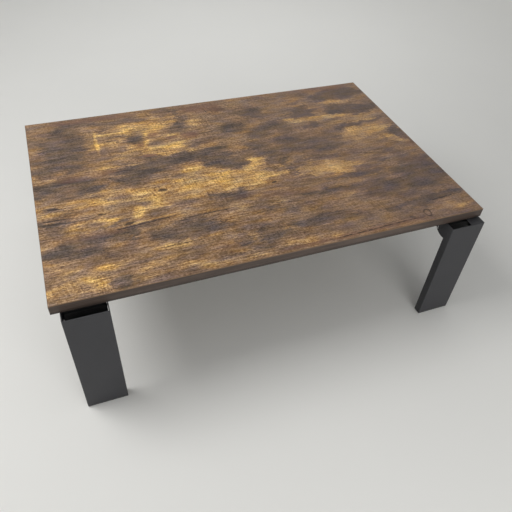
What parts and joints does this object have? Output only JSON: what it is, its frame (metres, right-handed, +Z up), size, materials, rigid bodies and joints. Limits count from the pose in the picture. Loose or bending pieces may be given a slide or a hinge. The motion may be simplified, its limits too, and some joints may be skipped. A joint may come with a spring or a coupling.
{
  "type": "kotatsu table",
  "caption": "Low heated table with a loose wood-print top, a recessed frame with an electric heater under it, and flat black legs that fold in under the top.",
  "frame": {"origin": "on the floor, under the centre of the tabletop and of the whole table's box", "axes": "+X along the long side, +Y from the front towards the back, +Z up"},
  "size_m": [1.2, 0.85, 0.405],
  "materials": {
    "wood_print": "satin printed sheet with a worn brown and ochre wood grain",
    "edge_print": "satin printed edge strip, dark greyish brown",
    "backing_sheet": "matte dark sheet",
    "particle_board": "raw pressed chips",
    "frame_board": "matte black lacquer over fine grain",
    "leg_steel": "matte black powder coat",
    "bracket_steel": "matte black paint",
    "cap_plastic": "matte black, fine texture",
    "glide_plastic": "matte black",
    "pad_rubber": "matte",
    "zinc_steel": "zinc plated",
    "heater_steel": "dark heat-proof paint",
    "bright_sheet": "polished",
    "quartz": "clear quartz",
    "resistance_wire": "oxidised wire",
    "ceramic": "unglazed white ceramic",
    "terminal_plastic": "pale moulding",
    "inlet_plastic": "black moulding",
    "brass": "bright",
    "guard_plastic": "black heat-proof moulding"
  },
  "bodies": {
    "frame": {"front_rail": "frame_board", "back_rail": "frame_board", "left_rail": "frame_board", "right_rail": "frame_board", "left_cross_rail": "frame_board", "right_cross_rail": "frame_board", "top_pads": "pad_rubber", "bracket_screws": "zinc_steel", "heater_casing": "heater_steel", "reflector": "bright_sheet", "quartz_tubes": "quartz", "heating_coils": "resistance_wire", "element_holders": "ceramic", "thermostat": "zinc_steel", "fuse_clip": "zinc_steel", "thermal_fuse": "ceramic", "terminal_block": "terminal_plastic", "inlet_housing": "inlet_plastic", "inlet_pins": "brass", "guard_grille": "guard_plastic", "heater_screws": "zinc_steel", "guard_screws": "zinc_steel", "corner_brace_front_left": "frame_board", "hinge_bracket_front_left": "bracket_steel", "corner_brace_front_right": "frame_board", "hinge_bracket_front_right": "bracket_steel", "corner_brace_back_left": "frame_board", "hinge_bracket_back_left": "bracket_steel", "corner_brace_back_right": "frame_board", "hinge_bracket_back_right": "bracket_steel"},
    "tabletop": {"tabletop_core": "particle_board", "top_face": "wood_print", "under_face": "backing_sheet", "edge_band_front": "edge_print", "edge_band_back": "edge_print", "edge_band_left": "edge_print", "edge_band_right": "edge_print"},
    "leg_front_left": {"leg_front_left": "leg_steel", "foot_glide_front_left": "glide_plastic", "pivot_pin_front_left": "zinc_steel", "lock_springs_front_left": "zinc_steel"},
    "lock_front_left": {"lock_bar_front_left": "zinc_steel"},
    "leg_front_right": {"leg_front_right": "leg_steel", "foot_glide_front_right": "glide_plastic", "pivot_pin_front_right": "zinc_steel", "lock_springs_front_right": "zinc_steel", "head_cap_front_right": "cap_plastic"},
    "lock_front_right": {"lock_bar_front_right": "zinc_steel"},
    "leg_back_left": {"leg_back_left": "leg_steel", "foot_glide_back_left": "glide_plastic", "pivot_pin_back_left": "zinc_steel", "lock_springs_back_left": "zinc_steel"},
    "lock_back_left": {"lock_bar_back_left": "zinc_steel"},
    "leg_back_right": {"leg_back_right": "leg_steel", "foot_glide_back_right": "glide_plastic", "pivot_pin_back_right": "zinc_steel", "lock_springs_back_right": "zinc_steel", "head_cap_back_right": "cap_plastic"},
    "lock_back_right": {"lock_bar_back_right": "zinc_steel"}
  },
  "joints": [
    {"name": "tabletop_lift", "type": "slide", "parent": "frame", "child": "tabletop", "axis": [0, 0, 1], "range_m": [0, 0.3]},
    {"name": "leg_fold_front_left", "type": "hinge", "parent": "frame", "child": "leg_front_left", "pos_m": [-0.525, -0.368, 0.353], "axis": [1, 0, 0], "range_deg": [0, 90]},
    {"name": "lock_slide_front_left", "type": "slide", "parent": "leg_front_left", "child": "lock_front_left", "axis": [0, 0, 1], "range_m": [0, 0.0045], "deforming": ["lock_springs_front_left"]},
    {"name": "leg_fold_front_right", "type": "hinge", "parent": "frame", "child": "leg_front_right", "pos_m": [0.545, -0.368, 0.353], "axis": [1, 0, 0], "range_deg": [0, 90]},
    {"name": "lock_slide_front_right", "type": "slide", "parent": "leg_front_right", "child": "lock_front_right", "axis": [0, 0, 1], "range_m": [0, 0.0045], "deforming": ["lock_springs_front_right"]},
    {"name": "leg_fold_back_left", "type": "hinge", "parent": "frame", "child": "leg_back_left", "pos_m": [-0.525, 0.368, 0.353], "axis": [-1, 0, 0], "range_deg": [0, 90]},
    {"name": "lock_slide_back_left", "type": "slide", "parent": "leg_back_left", "child": "lock_back_left", "axis": [0, 0, 1], "range_m": [0, 0.0045], "deforming": ["lock_springs_back_left"]},
    {"name": "leg_fold_back_right", "type": "hinge", "parent": "frame", "child": "leg_back_right", "pos_m": [0.545, 0.368, 0.353], "axis": [-1, 0, 0], "range_deg": [0, 90]},
    {"name": "lock_slide_back_right", "type": "slide", "parent": "leg_back_right", "child": "lock_back_right", "axis": [0, 0, 1], "range_m": [0, 0.0045], "deforming": ["lock_springs_back_right"]}
  ]
}
